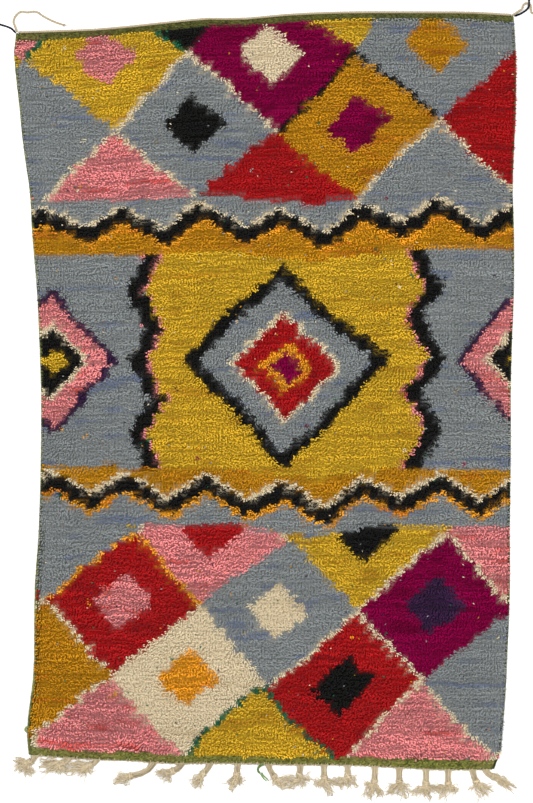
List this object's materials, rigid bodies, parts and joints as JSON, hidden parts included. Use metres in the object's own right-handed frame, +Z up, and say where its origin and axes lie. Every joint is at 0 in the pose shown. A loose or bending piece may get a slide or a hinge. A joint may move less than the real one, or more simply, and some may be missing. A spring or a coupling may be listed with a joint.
{
  "type": "boujad rug",
  "caption": "Hand-knotted wool pile rug lying flat, with green flat-woven ends, overcast sides, a knotted warp fringe and corner ties.",
  "frame": {"origin": "middle of the flat underside of the cloth, on the floor", "axes": "+Z up from the floor through the pile, +Y along the warp towards the end with the heading cord, +X to the right seen from above"},
  "size_m": [1.7367, 2.5909, 0.018],
  "materials": {
    "pile_wool": "matt knotted wool pile in mustard, ochre, grey blue, pink, crimson, plum, ivory and black",
    "green_wool": "matt overcast wool yarn, olive green",
    "ivory_yarn": "matt twisted and frayed warp yarn, ivory",
    "dark_yarn": "matt twisted yarn, blue black"
  },
  "bodies": {
    "root": {"rug_body": "pile_wool", "selvedge_left": "green_wool", "selvedge_right": "green_wool", "heading_cord": "ivory_yarn", "fringe": "ivory_yarn", "tail_ivory_left": "ivory_yarn", "tail_ivory_right": "ivory_yarn", "tail_dark_left": "dark_yarn", "tail_dark_right": "dark_yarn"}
  },
  "joints": []
}
